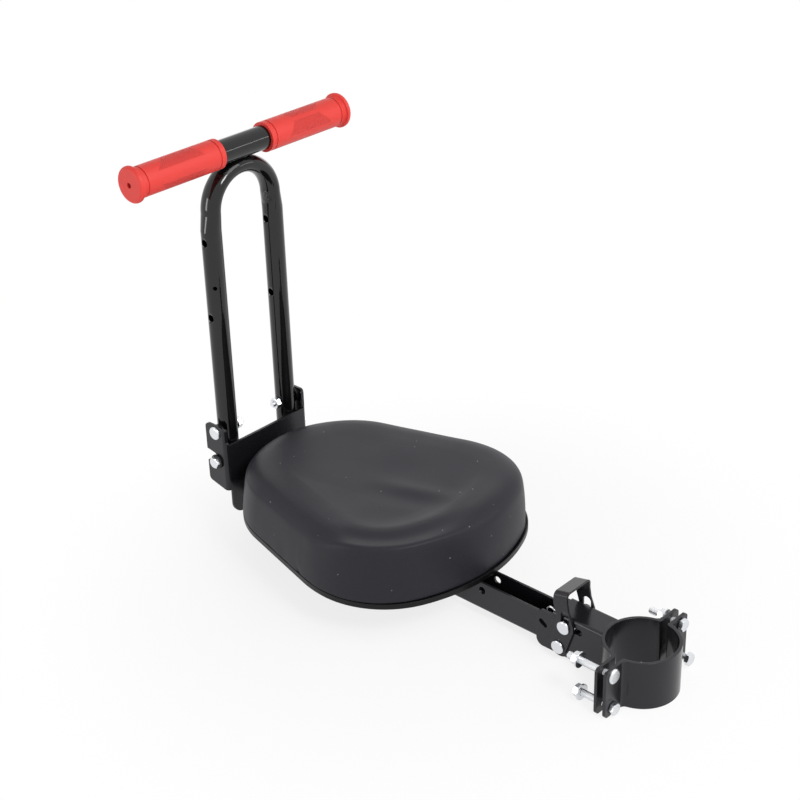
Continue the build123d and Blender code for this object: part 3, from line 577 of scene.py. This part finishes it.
def seat_pad():
    """The cushion: over the pan's lip, up a soft side, over a rolled rim and into a shallow dish."""
    points = pad_points(pan_outline(OUTLINE_POINTS))
    faces = pad_faces(OUTLINE_POINTS, len(points) // OUTLINE_POINTS)
    pad = mesh_piece("padded_seat", points, faces)
    pad.data.materials.append(FINISH["pad_vinyl"])
    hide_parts("seat_pad")
    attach(pad, "frame")


seat_pad()

# The photograph's camera, solved from the object's own straight edges, in metres and radians
CAMERA_PLACE = (-0.63997, 0.94835, 0.85209)
CAMERA_TURN, CAMERA_TILT, CAMERA_ROLL = math.radians(46.44), math.radians(28.13), math.radians(1.78)
CAMERA_LENS_MM, CAMERA_SENSOR_MM = 77.15, 36.0
CAMERA_REACH = 50.0


def studio_camera():
    """A camera that looks down at the seat, turned and rolled as the photograph's was."""
    ahead = Vector((
        math.cos(CAMERA_TURN) * math.cos(CAMERA_TILT),
        -math.sin(CAMERA_TURN) * math.cos(CAMERA_TILT),
        -math.sin(CAMERA_TILT),
    ))
    right = ahead.cross(Vector((0, 0, 1))).normalized()
    down = ahead.cross(right)
    level = math.cos(CAMERA_ROLL) * right + math.sin(CAMERA_ROLL) * down
    up = math.sin(CAMERA_ROLL) * right - math.cos(CAMERA_ROLL) * down
    camera = bpy.data.cameras.new("camera")
    camera.lens = CAMERA_LENS_MM
    camera.sensor_width = CAMERA_SENSOR_MM
    camera.clip_end = CAMERA_REACH
    holder = link(bpy.data.objects.new("camera", camera))
    turned = Matrix((level, up, -ahead)).transposed().to_4x4()
    holder.matrix_world = Matrix.Translation(CAMERA_PLACE) @ turned
    scene.camera = holder


def softbox(name, place, aim, size, power, shape="RECTANGLE"):
    """An area light aimed at a point."""
    light = bpy.data.lights.new(name, "AREA")
    light.shape = shape
    light.size, light.size_y = size
    light.energy = power
    holder = link(bpy.data.objects.new(name, light))
    holder.location = place
    holder.rotation_euler = (Vector(aim) - Vector(place)).to_track_quat("-Z", "Y").to_euler()
    holder.visible_camera = False


# Floor: half its width, its gap under the object, its colour, and the ring in which the shadow fades out
FLOOR_HALF, FLOOR_GAP = 6.0, 0.0002
FLOOR_WHITE = (0.95, 0.95, 0.95, 1.0)
SHADOW_X, SHADOW_INNER, SHADOW_OUTER = 0.22, 0.16, 0.4
# Share of plain white under the object, to the camera and in reflections
SHADOW_WHITE, SHADOW_WHITE_MIRRORED = 0.8, 0.7


def mirrored_ray(tree, path):
    """1 for what metal and glass show."""
    return calc(tree, "MAXIMUM", path["Is Glossy Ray"], path["Is Transmission Ray"])


def white_floor():
    """A white floor that takes a soft shadow and runs out into the white of the background."""
    level = cad_box[0][2] - FLOOR_GAP
    corners = [(x * FLOOR_HALF, y * FLOOR_HALF, level) for x, y in ((-1, -1), (1, -1), (1, 1), (-1, 1))]
    floor = mesh_piece("floor", corners, [(0, 1, 2, 3)], smooth=False)
    material, tree, surface, place = blank("floor_white")
    coat(tree, surface, place, FLOOR_WHITE, 0.9, grain_mm=3.0, grain_depth=0.01, drift=0.0)
    from_seat = vector_calc(tree, "DISTANCE", place, (SHADOW_X, 0.0, level))
    outer = ramp(tree, from_seat, SHADOW_INNER, SHADOW_OUTER)
    path = shader(tree, "LightPath").outputs
    shares = []
    for ray, least in (
        (path["Is Camera Ray"], SHADOW_WHITE), (mirrored_ray(tree, path), SHADOW_WHITE_MIRRORED)
    ):
        white = calc(tree, "MULTIPLY_ADD", outer, 1 - least, least)
        shares.append(calc(tree, "MULTIPLY", ray, white))
    share = calc(tree, "MAXIMUM", *shares)
    glow = shader(tree, "Emission", {"Color": WHITE, "Strength": 1.0}).outputs["Emission"]
    mixed = shader(tree, "MixShader", {0: share, 1: surface.outputs["BSDF"], 2: glow}).outputs["Shader"]
    tree.links.new(mixed, tree.nodes["Material Output"].inputs["Surface"])
    floor.data.materials.append(material)


# World: light from overhead, what the walls add to it, and how much more comes from the camera's side
CEILING, WALL, WALL_LEAN = 0.34, 0.44, 0.12
# Sine of the angle above the horizon at which the walls end, and below which they are full
WALL_TOP, WALL_FULL = 0.65, 0.1


def white_walls():
    """White all round, in reflections too, that lights the object with a dimmer grey."""
    world = bpy.data.worlds.new("studio")
    scene.world = world
    world.use_nodes = True
    tree = world.node_tree
    toward = shader(tree, "TexCoord").outputs["Generated"]
    rise = shader(tree, "SeparateXYZ", {"Vector": toward}).outputs["Z"]
    facing = vector_calc(tree, "DOT_PRODUCT", toward, (TO_CAMERA.x, TO_CAMERA.y, 0.0))
    added = calc(tree, "MULTIPLY_ADD", facing, WALL_LEAN, WALL)
    grey = calc(tree, "MULTIPLY_ADD", ramp(tree, rise, WALL_TOP, WALL_FULL), added, CEILING)
    path = shader(tree, "LightPath").outputs
    seen = calc(tree, "MAXIMUM", path["Is Camera Ray"], mirrored_ray(tree, path))
    back = tree.nodes["Background"]
    back.inputs["Color"].default_value = WHITE
    tree.links.new(calc(tree, "MAXIMUM", grey, seen), back.inputs["Strength"])


def studio():
    """Pale floor, white walls and soft lamps, in metres and watts."""
    white_floor()
    white_walls()
    seat = (0.25, 0.0, 0.1)
    softbox("key", (-0.87, 0.24, 1.2), (0.44, 0.02, 0.3), size=(0.5, 0.5), power=10.0, shape="DISK")
    softbox("top", (-0.7, -0.35, 1.4), seat, size=(0.8, 0.8), power=5.5)
    softbox("back", (1.15, -0.95, 0.4), seat, size=(1.2, 0.5), power=1.2)
    softbox("edge", (-0.66, -0.97, 0.63), (0.44, 0.0, 0.34), size=(0.5, 0.07), power=0.8)
    softbox("side", (0.97, 1.34, 0.36), (0.44, 0.04, 0.3), size=(0.35, 0.6), power=3.8)
    scene.view_settings.view_transform = "Standard"


studio_camera()
studio()
